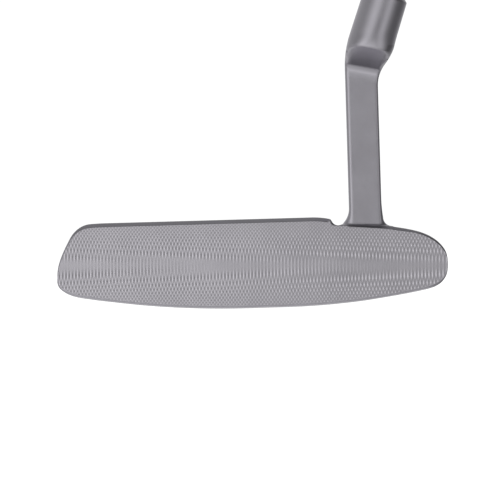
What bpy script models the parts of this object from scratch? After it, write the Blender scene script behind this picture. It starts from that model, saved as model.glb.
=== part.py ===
"""Right-handed blade putter: milled head, plumber's neck, stepped steel shaft and pistol grip.

Frame: metres, +Z up with the club at address. The striking face looks along -Y, the toe is at -X, and the
heel, the golfer and the top of the shaft are at +X. The origin is the point of the sole on the ground.
"""
import math

import bmesh
import bpy
from mathutils import Matrix, Vector

MM = 0.001
GAP = 0.3 * MM                       # clearance between two pieces that touch on the real club
FAR = 90 * MM                        # cutters run this far past the head

# ---- head ----
HEAD_MID_X = -4.3 * MM               # middle of the head's length, toe to heel
FACE_Y = -13.5 * MM                  # leading edge of the face, at ground level
REAR_Y = 13.5 * MM                   # rear edge of the flange
LOFT = math.radians(3.5)
TOPLINE_Z = 27.45 * MM
TOPLINE_THICK = 5.3 * MM
SOLE_LAND = 6 * MM                   # half-width of the flat in the middle of the sole
SOLE_R_TOE = 271 * MM                # heel-to-toe camber of the sole, either side of the flat
SOLE_R_HEEL = 214 * MM
FACE_CHAMFER = 1.2 * MM
# (x, z, heading in degrees) along the front outline, clockwise from the sole's toe end to the notch
TOE_CURVE = ((-59.3, 5.45, 162), (-64.55, 11.3, 90), (-60.2, 22.9, 59), (-53.3, 27.35, 4))
TOPLINE_END = ((14.2, 27.45, 0), (20.15, 26.75, -14))
NOTCH_CENTRE = (22.6, 27.06)         # round relief notch between topline and neck
NOTCH_R = 2.27
SHOULDER = ((23.4, 24.9, -3), (39.2, 23.95, -11))
HEEL_CURVE = ((39.2, 23.95, -11), (50.15, 20.93, -28), (55.95, 12.4, -90), (52.7, 5.7, -150), (47.7, 3.95, -171))
# plan outline behind the face: (x, y, heading) counter-clockwise from the heel
PLAN_HEEL = ((56.4, -9.0, 90), (49.0, 8.0, 138), (33.0, 13.5, 180))
PLAN_TOE = ((-41.5, 13.5, 180), (-57.5, 8.0, 222), (-65.0, -9.0, 270))
# side profile of the bumpers behind the topline: (y, z)
BUMPER_PROFILE = ((-0.5, 18.2), (4.2, 16.8), (7.6, 11.4), (15.0, 10.0), (22.0, 9.6))
BUMPER_STEP = 0.8 * MM               # the bumper's top rises this much towards the topline
POCKET_HALF = 24.0 * MM              # half-width of the cavity at the flange
POCKET_FLARE = 5.0 * MM              # extra half-width of the cavity at its top
FLANGE_Z_FRONT = 7.4 * MM
FLANGE_Z_REAR = 6.2 * MM

# ---- neck ----
LEAN = math.radians(19)              # lie angle of 71 degrees
POST_X = (26.0 * MM, 36.0 * MM)
POST_Y = (-10.7 * MM, -2.4 * MM)
POST_TOP_Z = 71.0 * MM
POST_CHAMFER = 0.8 * MM
NECK_FLARE_R = 6.4 * MM             # toe-side flare of the neck's foot
NECK_FLARE_TOP = 5.1 * MM           # height above the shoulder where the flare begins
HEEL_FLARE = 0.72                   # the heel side flares less
BOSS_MARGIN = 2.3 * MM               # how far the head's boss stands out round the post
TENON_R = 3.3 * MM
TENON_LENGTH = 9 * MM
SHAFT_Y = -18.5 * MM                 # the shaft stands ahead of the face
SHAFT_FOOT_X = 6.4 * MM              # where the shaft's axis would meet the ground
HOSEL_TOP_S = 100.9 * MM             # distances S run up the shaft's axis from the ground
HOSEL_LOW_S = 83.0 * MM
HOSEL_R_TOP = 6.9 * MM
HOSEL_R_LOW = 7.1 * MM
BORE_DEPTH = 17 * MM
ELBOW_RISE = math.radians(25.4)       # slope of the elbow's underside towards the front
ELBOW_LOW_Z = 74.0 * MM              # underside at the post's toe-side front edge
ELBOW_TOP_Z = 84.0 * MM              # top of the elbow at the same edge
ELBOW_TOP_S = 86.5 * MM              # the elbow merges into the hosel below this height
ELBOW_BACK_CHAMFER = 3.5 * MM
ELBOW_TILT = 0.215                  # fall of the elbow's planes towards the heel
HOSEL_FOOT_S = 80.0 * MM

# ---- sole weights ----
WEIGHT_R = 6.5 * MM
WEIGHT_HEIGHT = 5.6 * MM
WEIGHT_SPACING = 41.5 * MM           # from the middle of the head
WEIGHT_RECESS = 0.35 * MM
SOCKET_R = 2.9 * MM                  # hexagon socket, corner radius
SOCKET_DEPTH = 2.6 * MM

# ---- sight line ----
SIGHT_LENGTH = 16 * MM
SIGHT_WIDTH = 1.3 * MM
SIGHT_DEPTH = 0.8 * MM

# ---- shaft and grip ----
CLUB_LENGTH = 863.6 * MM             # 34 in, from the ground to the top of the grip cap
SHAFT_TIP_R = 4.7 * MM               # 0.370 in tip
SHAFT_BUTT_R = 7.365 * MM            # 0.580 in butt
SHAFT_WALL = 0.45 * MM
SHAFT_STEPS = 11
STEP_START_S = 196 * MM
STEP_PITCH = 34 * MM
STEP_TAPER = 1.5 * MM
PLUG_LENGTH = 9 * MM
TAPE_THICK = 0.3 * MM
GRIP_LENGTH = 267 * MM               # 10.5 in pistol grip
CAP_THICK = 3.2 * MM
VENT_R = 1.2 * MM
# grip section at fractions of its length from mouth to butt: (t, half-width, front depth, back depth)
GRIP_SECTIONS = (
    (0.00, 9.9, 9.4, 9.9),
    (0.03, 10.4, 9.7, 10.5),
    (0.25, 11.0, 10.0, 11.6),
    (0.50, 11.8, 10.5, 13.0),
    (0.68, 12.3, 10.8, 15.4),
    (0.80, 12.8, 11.1, 18.4),
    (0.90, 13.2, 11.4, 19.6),
    (0.96, 13.3, 11.5, 19.0),
    (1.00, 12.7, 11.2, 17.8),
)

SEGMENTS = 28


def clear_scene():
    for obj in list(bpy.data.objects):
        bpy.data.objects.remove(obj, do_unlink=True)


def material(name, colour, roughness, metallic):
    mat = bpy.data.materials.new(name)
    mat.use_nodes = True
    shader = mat.node_tree.nodes["Principled BSDF"]
    shader.inputs["Base Color"].default_value = (*colour, 1.0)
    shader.inputs["Roughness"].default_value = roughness
    shader.inputs["Metallic"].default_value = metallic
    mat.diffuse_color = (*colour, 1.0)
    return mat


def add_object(name, bm, mat=None, smooth=True):
    bmesh.ops.recalc_face_normals(bm, faces=bm.faces)
    mesh = bpy.data.meshes.new(name)
    bm.to_mesh(mesh)
    bm.free()
    if smooth:
        mesh.shade_smooth()
        mesh.set_sharp_from_angle(angle=math.radians(30))
    obj = bpy.data.objects.new(name, mesh)
    bpy.context.collection.objects.link(obj)
    if mat:
        mesh.materials.append(mat)
    return obj


def combine(target, tool, operation="DIFFERENCE"):
    """Cut, join or trim target with a hidden tool solid."""
    tool.hide_render = True
    tool.display_type = "WIRE"
    mod = target.modifiers.new(tool.name, "BOOLEAN")
    mod.operation = operation
    mod.object = tool
    mod.solver = "EXACT"


# ---- outlines ----

def curve_through(points, steps):
    """Smooth curve through points that each give a place in mm and a heading in degrees."""
    curve = []
    for (x0, y0, a0), (x1, y1, a1) in zip(points, points[1:]):
        turn = math.radians(abs(a1 - a0))
        chord = math.hypot(x1 - x0, y1 - y0)
        reach = chord / (3 * math.cos(turn / 4) ** 2)
        c0 = (x0 + reach * math.cos(math.radians(a0)), y0 + reach * math.sin(math.radians(a0)))
        c1 = (x1 - reach * math.cos(math.radians(a1)), y1 - reach * math.sin(math.radians(a1)))
        for i in range(steps):
            t = i / steps
            weights = ((1 - t) ** 3, 3 * t * (1 - t) ** 2, 3 * t * t * (1 - t), t ** 3)
            px = sum(w * p for w, p in zip(weights, (x0, c0[0], c1[0], x1)))
            py = sum(w * p for w, p in zip(weights, (y0, c0[1], c1[1], y1)))
            curve.append((px * MM, py * MM))
    x, y, _ = points[-1]
    curve.append((x * MM, y * MM))
    return curve


def sole_height(x):
    """Height of the sole's heel-to-toe camber at x."""
    radius = SOLE_R_TOE if x < 0 else SOLE_R_HEEL
    return max(abs(x) - SOLE_LAND, 0.0) ** 2 / (2 * radius)


def front_outline():
    """Outline of the head seen from the front, clockwise: sole, toe, topline, notch, shoulder, heel."""
    heel_end = HEEL_CURVE[-1][0] * MM
    toe_end = TOE_CURVE[0][0] * MM
    sole = [heel_end + (toe_end - heel_end) * i / 12 for i in range(1, 12)]
    sole = [x for x in sole if abs(x) > SOLE_LAND] + [SOLE_LAND, -SOLE_LAND]
    points = [(x, sole_height(x)) for x in sorted(sole, reverse=True)]
    points += curve_through(TOE_CURVE, 5)
    points += curve_through(TOPLINE_END, 3)
    cx, cz = NOTCH_CENTRE
    for degrees in (-155, -128, -102, -78):
        angle = math.radians(degrees)
        points.append(((cx + NOTCH_R * math.cos(angle)) * MM, (cz + NOTCH_R * math.sin(angle)) * MM))
    points += curve_through(SHOULDER, 2)[1:-1]
    points += curve_through(HEEL_CURVE, 5)
    return points


def plan_outline():
    ahead = FACE_Y - FAR / 4
    points = [(PLAN_HEEL[0][0] * MM, ahead)]
    points += curve_through(PLAN_HEEL, 5)
    points += curve_through(PLAN_TOE, 5)
    points.append((PLAN_TOE[-1][0] * MM, ahead))
    return points


def prism(outline, place_low, place_high):
    """Solid between two copies of an outline; each place function turns (u, v) into a point."""
    bm = bmesh.new()
    low = [bm.verts.new(place_low(u, v)) for u, v in outline]
    high = [bm.verts.new(place_high(u, v)) for u, v in outline]
    bm.faces.new(low)
    bm.faces.new(high)
    for i, vert in enumerate(low):
        j = (i + 1) % len(low)
        bm.faces.new((vert, low[j], high[j], high[i]))
    return bm


def bridge(bm, ring, after):
    count = len(ring)
    for k in range(count):
        j = (k + 1) % count
        bm.faces.new((ring[k], ring[j], after[j], after[k]))


def box(name, low, high):
    corners = [(low[0], low[1]), (high[0], low[1]), (high[0], high[1]), (low[0], high[1])]
    bm = prism(corners, lambda x, y: (x, y, low[2]), lambda x, y: (x, y, high[2]))
    return add_object(name, bm, smooth=False)


def along_x(name, profile, x0, x1):
    bm = prism(profile, lambda y, z: (x0, y, z), lambda y, z: (x1, y, z))
    return add_object(name, bm, smooth=False)


# ---- turned pieces on the shaft's axis ----

SHAFT_FRAME = Matrix.Translation((SHAFT_FOOT_X, SHAFT_Y, 0)) @ Matrix.Rotation(LEAN, 4, "Y")


def turned(name, profile, mat=None, segments=SEGMENTS):
    """Tube from a closed (radius, s) profile, turned round the shaft's axis."""
    bm = bmesh.new()
    rings = []
    for radius, s in profile:
        ring = []
        for k in range(segments):
            angle = 2 * math.pi * k / segments
            ring.append(bm.verts.new((radius * math.cos(angle), radius * math.sin(angle), s)))
        rings.append(ring)
    for ring, after in zip(rings, rings[1:] + rings[:1]):
        for k in range(segments):
            j = (k + 1) % segments
            bm.faces.new((ring[k], ring[j], after[j], after[k]))
    obj = add_object(name, bm, mat)
    obj.matrix_world = SHAFT_FRAME
    return obj


def rod(name, radius_low, radius_high, s_low, s_high, frame, mat=None, segments=SEGMENTS):
    """Solid cylinder or cone between two heights on the z axis of a frame."""
    bm = bmesh.new()
    bmesh.ops.create_cone(bm, cap_ends=True, segments=segments, radius1=radius_low, radius2=radius_high,
                          depth=s_high - s_low)
    bmesh.ops.translate(bm, vec=(0, 0, (s_low + s_high) / 2), verts=bm.verts)
    obj = add_object(name, bm, mat)
    obj.matrix_world = frame
    return obj


# ---- head ----

def face_y(z):
    return FACE_Y + z * math.tan(LOFT)


def post_centre():
    return sum(POST_X) / 2, sum(POST_Y) / 2


def shoulder_z(x):
    """Top of the heel shoulder, where the neck's foot stands."""
    x0, z0, _ = SHOULDER[0]
    x1, z1, _ = SHOULDER[-1]
    return (z0 + (z1 - z0) * (x / MM - x0) / (x1 - x0)) * MM


def head_block(steel):
    """Front outline run back to the rear edge, with the chamfer round the face."""
    outline = front_outline()
    bm = prism(outline, lambda x, z: (x, face_y(z), z), lambda x, z: (x, REAR_Y, z))
    bm.faces.ensure_lookup_table()
    front = min(bm.faces, key=lambda f: f.calc_center_median().y)
    bmesh.ops.recalc_face_normals(bm, faces=bm.faces)
    bmesh.ops.inset_region(bm, faces=[front], thickness=FACE_CHAMFER * 0.6, depth=0)
    rim = {v for e in front.edges for v in e.link_faces[0].verts} - set(front.verts)
    rim |= {v for e in front.edges for f in e.link_faces for v in f.verts} - set(front.verts)
    bmesh.ops.translate(bm, vec=(0, FACE_CHAMFER * 0.5, 0), verts=list(rim))
    return add_object("head_body", bm, steel, smooth=False)


def relief_profile(wall_y):
    """Space above the bumpers, behind a wall at wall_y."""
    points = [(y * MM, z * MM) for y, z in BUMPER_PROFILE]
    return [(wall_y, FAR), (wall_y, points[0][1] + BUMPER_STEP)] + points + [(points[-1][0], FAR)]


def cut_back(head):
    """Relief behind the topline, cavity between the bumpers, plan outline."""
    wall_y = face_y(TOPLINE_Z) + TOPLINE_THICK
    boss_low = POST_X[0] - BOSS_MARGIN
    boss_high = POST_X[1] + BOSS_MARGIN
    boss_y = POST_Y[1] + BOSS_MARGIN
    combine(head, along_x("relief_toe", relief_profile(wall_y), -FAR, boss_low))
    combine(head, along_x("relief_neck", relief_profile(boss_y), boss_low - MM, boss_high + MM))
    combine(head, along_x("relief_heel", relief_profile(wall_y), boss_high, FAR))

    pocket = [(HEAD_MID_X - POCKET_HALF, 0), (HEAD_MID_X + POCKET_HALF, 0),
              (HEAD_MID_X + POCKET_HALF + POCKET_FLARE, 1), (HEAD_MID_X - POCKET_HALF - POCKET_FLARE, 1)]
    top = TOPLINE_Z
    bm = prism(pocket,
               lambda x, up: (x, wall_y, top if up else FLANGE_Z_FRONT),
               lambda x, up: (x, REAR_Y + 5 * MM, top if up else FLANGE_Z_REAR))
    combine(head, add_object("cavity", bm, smooth=False))

    bm = prism(plan_outline(), lambda x, y: (x, y, -FAR), lambda x, y: (x, y, FAR))
    combine(head, add_object("plan", bm, smooth=False), "INTERSECT")


def weight_frame(side):
    """Frame on the sole at a weight: z points into the head along the sole's normal."""
    x = HEAD_MID_X + side * WEIGHT_SPACING
    step = 0.5 * MM
    slope = (sole_height(x + step) - sole_height(x - step)) / (2 * step)
    return Matrix.Translation((x, 0, sole_height(x))) @ Matrix.Rotation(-math.atan(slope), 4, "Y")


def cut_sockets(head):
    """Pockets for the two sole weights, the neck's tenon and the sight line."""
    for side, name in ((-1, "toe"), (1, "heel")):
        frame = weight_frame(side)
        radius = WEIGHT_R + GAP
        depth = WEIGHT_RECESS + WEIGHT_HEIGHT + GAP
        combine(head, rod(name + "_pocket", radius, radius, -3 * MM, depth, frame))
    px, py = post_centre()
    socket_low = shoulder_z(px) - TENON_LENGTH - GAP
    frame = Matrix.Translation((px, py, 0))
    radius = TENON_R + GAP
    combine(head, rod("tenon_socket", radius, radius, socket_low, TOPLINE_Z + 5 * MM, frame))
    low, high = sight_box()
    combine(head, box("sight_groove", (low[0] - GAP, low[1] - GAP, low[2] - GAP),
                      (high[0] + GAP, high[1] + GAP, high[2] + 4 * MM)))


def flange_z(y):
    front = face_y(TOPLINE_Z) + TOPLINE_THICK
    rear = REAR_Y + 5 * MM
    return FLANGE_Z_FRONT + (FLANGE_Z_REAR - FLANGE_Z_FRONT) * (y - front) / (rear - front)


def sight_box():
    """Paint fill of the sight line, on the middle of the flange."""
    front = face_y(TOPLINE_Z) + TOPLINE_THICK
    y0 = (front + REAR_Y - SIGHT_LENGTH) / 2
    top = flange_z(y0 + SIGHT_LENGTH) - 0.1 * MM
    low = (HEAD_MID_X - SIGHT_WIDTH / 2, y0, top - SIGHT_DEPTH)
    high = (HEAD_MID_X + SIGHT_WIDTH / 2, y0 + SIGHT_LENGTH, top)
    return low, high


def make_head(steel):
    head = head_block(steel)
    cut_back(head)
    cut_sockets(head)


def make_weights(mat):
    for side, name in ((-1, "toe_weight"), (1, "heel_weight")):
        frame = weight_frame(side)
        low = WEIGHT_RECESS
        weight = rod(name, WEIGHT_R, WEIGHT_R, low, low + WEIGHT_HEIGHT, frame, mat)
        combine(weight, rod(name + "_hexagon", SOCKET_R, SOCKET_R, low - MM, low + SOCKET_DEPTH, frame, segments=6))


def make_sight_line(paint):
    low, high = sight_box()
    box("sight_line", low, high).data.materials.append(paint)


# ---- neck ----

def flare(height):
    """Outward spread of the neck's foot at a height above the shoulder."""
    below = max(NECK_FLARE_TOP - height, 0.0)
    return NECK_FLARE_R - math.sqrt(NECK_FLARE_R ** 2 - below ** 2)


def neck_post(steel):
    """Rectangular post with chamfered edges and a flared foot on the sloping shoulder."""
    bm = bmesh.new()
    rings = []
    for height in (GAP, 1.0 * MM, 2.0 * MM, 3.4 * MM, NECK_FLARE_TOP, POST_TOP_Z):
        grow = flare(height)
        ring = []
        for x, y in post_section(grow, grow * HEEL_FLARE, grow * 0.8):
            z = height if height == POST_TOP_Z else shoulder_z(x) + height
            ring.append(bm.verts.new((x, y, z)))
        rings.append(ring)
    for ring, after in zip(rings, rings[1:]):
        bridge(bm, ring, after)
    bm.faces.new(rings[0])
    bm.faces.new(rings[-1])
    return add_object("plumber_neck", bm, steel, smooth=False)


def post_section(grow_toe=0.0, grow_heel=0.0, grow_back=0.0):
    """Chamfered rectangle of the post, as eight (x, y) corners."""
    x0, x1 = POST_X[0] - grow_toe, POST_X[1] + grow_heel
    y0, y1 = POST_Y[0], POST_Y[1] + grow_back
    c = POST_CHAMFER
    return ((x0 + c, y0), (x1 - c, y0), (x1, y0 + c), (x1, y1 - c),
            (x1 - c, y1), (x0 + c, y1), (x0, y1 - c), (x0, y0 + c))


def hosel_ring(s_of_angle, radius):
    points = []
    for k in range(SEGMENTS):
        angle = 2 * math.pi * k / SEGMENTS
        local = Vector((radius * math.cos(angle), radius * math.sin(angle), s_of_angle(angle)))
        points.append(SHAFT_FRAME @ local)
    return points


def elbow_z(x, y, base):
    """Height of a plane square to the shaft's lean that rises towards the front."""
    px = POST_X[0]
    return base - (x - px) * ELBOW_TILT - (y - POST_Y[0]) * math.tan(ELBOW_RISE)


def elbow():
    """Block that carries the hosel forward: hull between the post's top and the hosel's slanted foot."""
    points = []
    for x, y in post_section():
        points.append(Vector((x, y, elbow_z(x, y, ELBOW_LOW_Z))))
        back = max(y - (POST_Y[1] - ELBOW_BACK_CHAMFER), 0.0)
        points.append(Vector((x, y, elbow_z(x, POST_Y[0], ELBOW_TOP_Z) - back)))

    def slanted(angle):
        return HOSEL_FOOT_S - math.tan(ELBOW_RISE) * HOSEL_R_LOW * math.sin(angle)

    points += hosel_ring(slanted, HOSEL_R_LOW * 0.995)
    points += hosel_ring(lambda angle: ELBOW_TOP_S, HOSEL_R_LOW * 0.98)
    bm = bmesh.new()
    for point in points:
        bm.verts.new((max(point.x, POST_X[0]), point.y, point.z))
    hull = bmesh.ops.convex_hull(bm, input=bm.verts)
    spare = {g for g in hull["geom_interior"] + hull["geom_unused"] if isinstance(g, bmesh.types.BMVert)}
    bmesh.ops.delete(bm, geom=list(spare), context="VERTS")
    return add_object("elbow", bm, smooth=False)


def make_neck(steel):
    neck = neck_post(steel)
    combine(neck, elbow(), "UNION")
    combine(neck, rod("hosel", HOSEL_R_LOW, HOSEL_R_TOP, HOSEL_LOW_S, HOSEL_TOP_S, SHAFT_FRAME), "UNION")
    px, py = post_centre()
    top = shoulder_z(px)
    frame = Matrix.Translation((px, py, 0))
    combine(neck, rod("tenon", TENON_R, TENON_R, top - TENON_LENGTH, top + 2 * MM, frame), "UNION")
    radius = SHAFT_TIP_R + GAP
    low = HOSEL_TOP_S - BORE_DEPTH
    combine(neck, rod("bore", radius, radius, low, HOSEL_TOP_S + 5 * MM, SHAFT_FRAME))


# ---- shaft ----

def shaft_profile():
    """Outer (radius, s) points of the stepped shaft from tip to butt."""
    tip = HOSEL_TOP_S - BORE_DEPTH + GAP
    butt = CLUB_LENGTH - CAP_THICK - 2 * GAP
    outer = [(SHAFT_TIP_R, tip)]
    for i in range(SHAFT_STEPS):
        s = STEP_START_S + i * STEP_PITCH
        before = SHAFT_TIP_R + (SHAFT_BUTT_R - SHAFT_TIP_R) * i / SHAFT_STEPS
        after = SHAFT_TIP_R + (SHAFT_BUTT_R - SHAFT_TIP_R) * (i + 1) / SHAFT_STEPS
        outer += [(before, s), (after, s + STEP_TAPER)]
    outer.append((SHAFT_BUTT_R, butt))
    return outer


def make_shaft(chrome):
    outer = shaft_profile()
    inner = [(radius - SHAFT_WALL, s) for radius, s in reversed(outer)]
    turned("shaft", outer + inner, chrome)


def make_plug(mat):
    tip = shaft_profile()[0][1]
    radius = SHAFT_TIP_R - SHAFT_WALL - GAP
    rod("tip_plug", radius, radius, tip + MM, tip + MM + PLUG_LENGTH, SHAFT_FRAME, mat)


# ---- grip ----

def smooth_step(t):
    return t * t * (3 - 2 * t)


def grip_size(t):
    """Half-width, front depth and back depth of the grip at a fraction of its length."""
    for low, high in zip(GRIP_SECTIONS, GRIP_SECTIONS[1:]):
        if t <= high[0]:
            f = smooth_step((t - low[0]) / (high[0] - low[0]))
            return [a + (b - a) * f for a, b in zip(low[1:], high[1:])]
    return list(GRIP_SECTIONS[-1][1:])


def grip_ring(t, scale=1.0, segments=SEGMENTS):
    """Points (x, y) of the grip's section: flat at the front (-x), round at the back (+x)."""
    half_width, front, back = grip_size(t)
    ring = []
    for k in range(segments):
        angle = 2 * math.pi * (k + 0.5) / segments
        c, s = math.cos(angle), math.sin(angle)
        if c >= 0:
            x = back * c
        else:
            x = -front * min(1.0, 1.45 * abs(c) ** 0.8)
        y = half_width * math.copysign(abs(s) ** 0.85, s)
        ring.append((x * scale * MM, y * scale * MM))
    return ring


def circle_ring(bm, radius, s, segments=SEGMENTS):
    ring = []
    for k in range(segments):
        angle = 2 * math.pi * (k + 0.5) / segments
        ring.append(bm.verts.new((radius * math.cos(angle), radius * math.sin(angle), s)))
    return ring


def grip_ends():
    top = CLUB_LENGTH - CAP_THICK - GAP
    return CLUB_LENGTH - GRIP_LENGTH, top


def make_grip(rubber):
    low, high = grip_ends()
    bm = bmesh.new()
    rings = []
    for t in (0.0, 0.03, 0.14, 0.25, 0.38, 0.5, 0.6, 0.68, 0.74, 0.8, 0.85, 0.9, 0.96, 1.0):
        s = low + (high - low) * t
        rings.append([bm.verts.new((x, y, s)) for x, y in grip_ring(t)])
    bore = SHAFT_BUTT_R + GAP + TAPE_THICK + GAP
    lip = SHAFT_BUTT_R + GAP
    rings.append(circle_ring(bm, bore, high))
    rings.append(circle_ring(bm, bore, low + 5 * MM))
    rings.append(circle_ring(bm, lip, low + 4 * MM))
    rings.append(circle_ring(bm, lip, low))
    for ring, after in zip(rings, rings[1:] + rings[:1]):
        bridge(bm, ring, after)
    obj = add_object("grip", bm, rubber)
    obj.matrix_world = SHAFT_FRAME


def make_cap(mat):
    """Domed cap bonded on the butt of the grip, with the vent hole through its middle."""
    bm = bmesh.new()
    low = CLUB_LENGTH - CAP_THICK
    rings = []
    for scale, s in ((0.93, low), (0.99, low + 0.7 * MM), (0.99, low + 1.7 * MM), (0.90, CLUB_LENGTH)):
        rings.append([bm.verts.new((x, y, s)) for x, y in grip_ring(1.0, scale)])
    rings.append(circle_ring(bm, VENT_R, CLUB_LENGTH))
    rings.append(circle_ring(bm, VENT_R, low))
    for ring, after in zip(rings, rings[1:] + rings[:1]):
        bridge(bm, ring, after)
    obj = add_object("grip_cap", bm, mat)
    obj.matrix_world = SHAFT_FRAME


def make_tape(mat):
    low, high = grip_ends()
    inner = SHAFT_BUTT_R + GAP
    outer = inner + TAPE_THICK
    start, end = low + 6 * MM, high - 4 * MM
    turned("grip_tape", [(outer, start), (outer, end), (inner, end), (inner, start)], mat)


def build():
    clear_scene()
    steel = material("satin_steel", (0.46, 0.45, 0.47), 0.42, 1.0)
    weight_steel = material("weight_steel", (0.55, 0.55, 0.56), 0.3, 1.0)
    chrome = material("chrome", (0.8, 0.8, 0.82), 0.08, 1.0)
    paint = material("black_paint", (0.02, 0.02, 0.02), 0.4, 0.0)
    rubber = material("black_rubber", (0.025, 0.025, 0.027), 0.75, 0.0)
    cap_rubber = material("cap_rubber", (0.04, 0.04, 0.042), 0.55, 0.0)
    plug = material("plug_nylon", (0.75, 0.73, 0.66), 0.6, 0.0)
    tape = material("tape", (0.78, 0.72, 0.55), 0.8, 0.0)
    make_head(steel)
    make_neck(steel)
    make_weights(weight_steel)
    make_sight_line(paint)
    make_shaft(chrome)
    make_plug(plug)
    make_tape(tape)
    make_grip(rubber)
    make_cap(cap_rubber)


build()
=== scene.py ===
"""Looks of the blade putter: fine meshes, procedural materials, studio light and camera round the CAD frame.

Mesh code works in millimetres in the CAD's own axes and is scaled to metres when an object is made.
"""
import math

import bmesh
import bpy
import numpy as np
from mathutils import Matrix, Vector


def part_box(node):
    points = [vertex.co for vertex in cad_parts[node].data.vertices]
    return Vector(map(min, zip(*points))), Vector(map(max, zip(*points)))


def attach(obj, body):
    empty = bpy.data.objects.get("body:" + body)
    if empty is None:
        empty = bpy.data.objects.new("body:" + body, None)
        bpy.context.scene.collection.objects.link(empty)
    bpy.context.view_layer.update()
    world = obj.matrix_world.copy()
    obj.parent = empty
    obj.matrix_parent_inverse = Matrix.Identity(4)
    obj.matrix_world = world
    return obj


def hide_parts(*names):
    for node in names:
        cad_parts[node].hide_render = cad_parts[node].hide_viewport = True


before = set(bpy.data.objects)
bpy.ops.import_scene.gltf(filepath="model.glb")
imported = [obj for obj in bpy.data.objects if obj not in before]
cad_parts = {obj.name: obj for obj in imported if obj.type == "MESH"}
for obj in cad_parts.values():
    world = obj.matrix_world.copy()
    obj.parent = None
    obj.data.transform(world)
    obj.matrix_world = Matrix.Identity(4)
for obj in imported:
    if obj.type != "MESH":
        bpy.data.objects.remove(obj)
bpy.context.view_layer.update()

MM = 0.001
BODY = "root"

# ---- head: the CAD's form, its outline redrawn by up to 0.4 mm ----
HEAD_MID_X = -4.3
FACE_Y = -13.5
LOFT = math.radians(3.5)
TOPLINE_Z = 27.45
TOPLINE_THICK = 5.3
SOLE_LAND = 6.0
SOLE_R_TOE = 284.0
SOLE_R_HEEL = 220.0
SOLE_ROCK_R = 260.0                  # front-to-back camber of the sole
TOE_CURVE = ((-59.2, 5.2, 162), (-64.7, 10.7, 87), (-60.2, 23.1, 61), (-53.9, 27.42, 4), (-45, 27.55, 0))
TOPLINE_END = ((14.2, 27.48, 0), (20.15, 26.78, -14))
NOTCH_CENTRE = (22.6, 27.06)
NOTCH_R = 2.27
SHOULDER = ((23.4, 24.9, -3), (39.2, 23.95, -11))
HEEL_CURVE = ((39.2, 23.95, -11), (50.15, 20.93, -28), (56.12, 12.4, -90),
              (52.7, 5.6, -150), (47.7, 3.95, -171))
PLAN_HEEL = ((56.4, -9.0, 90), (49.0, 8.0, 138), (33.0, 13.5, 180))
PLAN_TOE = ((-41.5, 13.5, 180), (-57.5, 8.0, 222), (-65.0, -9.0, 270))
BUMPER_PROFILE = ((-0.5, 18.2), (4.2, 16.8), (7.6, 11.4), (15.0, 10.0))
POCKET_HALF = 24.0
POCKET_FLARE = 5.0
FLANGE_Z_FRONT = 7.4
FLANGE_Z_REAR = 6.2
FACE_RECESS = 0.12                   # the floor behind the milled face, which is a mesh of its own
CHAMFER_MIN = 0.32                   # flat round the face: least width, and depth as a share of the width
CHAMFER_DEPTH = 0.85
CHAMFER_SOLE = 0.75                  # width added along the sole
# width added along the top edge, by x: topline, notch, shoulder
CHAMFER_TOP_X = (20.4, 21.4, 25.0, 28.0, 33.0, 41.0, 47.0)
CHAMFER_TOP = (1.0, 0.0, 0.0, 0.4, 0.8, 0.8, 0.5)
FACE_RIM = 0.93                      # the milled face reaches this share of the chamfer's width
FLOOR_RIM = 0.4                      # strip of the floor behind it that is kept
FLOOR_FLAT = 0.05                    # how near the floor's plane a quad has to be to belong to it
EDGE_R = 0.8                         # rounding of the bumpers' and the pocket's edges
PLAN_EDGE_R = 1.2                    # rounding of the rear outline's upper edge
WALL_FILLET = 2.2                    # behind the face plate
POCKET_FILLET = 2.6                  # between the pocket's sides and its floor
BUMPER_STEP_R = 2.0
BUMPER_STEP_FILLET = 2.5

# ---- neck: the CAD's form, but the elbow's back heel corner stands up to 4.7 mm outside it ----
LEAN = math.radians(19)
POST_X = (26.0, 36.0)
POST_Y = (-10.7, -2.4)
SHAFT_Y = -18.5
SHAFT_FOOT_X = 6.4
HOSEL_TOP_S = 100.9
HOSEL_R_TOP = 6.9
HOSEL_R_LOW = 7.1
HOSEL_LOW_S = 83.0
BORE_DEPTH = 17.0
ELBOW_RISE = math.radians(29.5)
ELBOW_EASE = 0.008                   # the rise eases off towards the front, 1/mm
ELBOW_DRAFT = 0.9                    # how far the front draws back at the foot of the hosel
ELBOW_SQUARE = 2.5                   # power of the rounded section below the hosel
ELBOW_TILT = 0.215                   # fall of the elbow's planes towards the heel
ELBOW_LOW_Z = 74.0                   # underside at the post's toe-side front edge
ELBOW_TOP_Z = 84.0
ELBOW_FILLET = 1.3                   # in the crease under the elbow; tighter behind ELBOW_FILLET_Y
ELBOW_FILLET_REAR = 0.5
ELBOW_FILLET_Y = -6.0
ELBOW_BLEND_Z = (77.5, 83.5)         # over these heights the elbow's section turns into the hosel's
ELBOW_DRAFT_Z = (76.0, 85.0)         # the draft dies out over these
ELBOW_POST_TOP_Z = 79.0              # the post ends inside the elbow
ELBOW_RIM = (0.4, 0.5)               # rounding of the underside's rim, and what the two corners add
ELBOW_CORNER = (0.55, 0.4)           # the corners begin this far out from the middle, as a share of the half
CROWN_CUT = 3.5                      # chamfer at the back of the elbow's top
CROWN_R = 2.0
CROWN_FILLET = 1.5                   # between that top and the hosel
HOSEL_RIM = 0.9
BORE_R = 4.85
BORE_RIM = 0.35
SWELL_Z = 70.2                       # the front of the post swells forward above this, at its toe side
SWELL = 0.02                         # times the height above squared
SWELL_REACH = 6.0
POST_EDGE_TOE = 1.1                  # rounding of the post's front edges
POST_EDGE_HEEL = 0.85
POST_EDGE_BACK = 1.2
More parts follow.
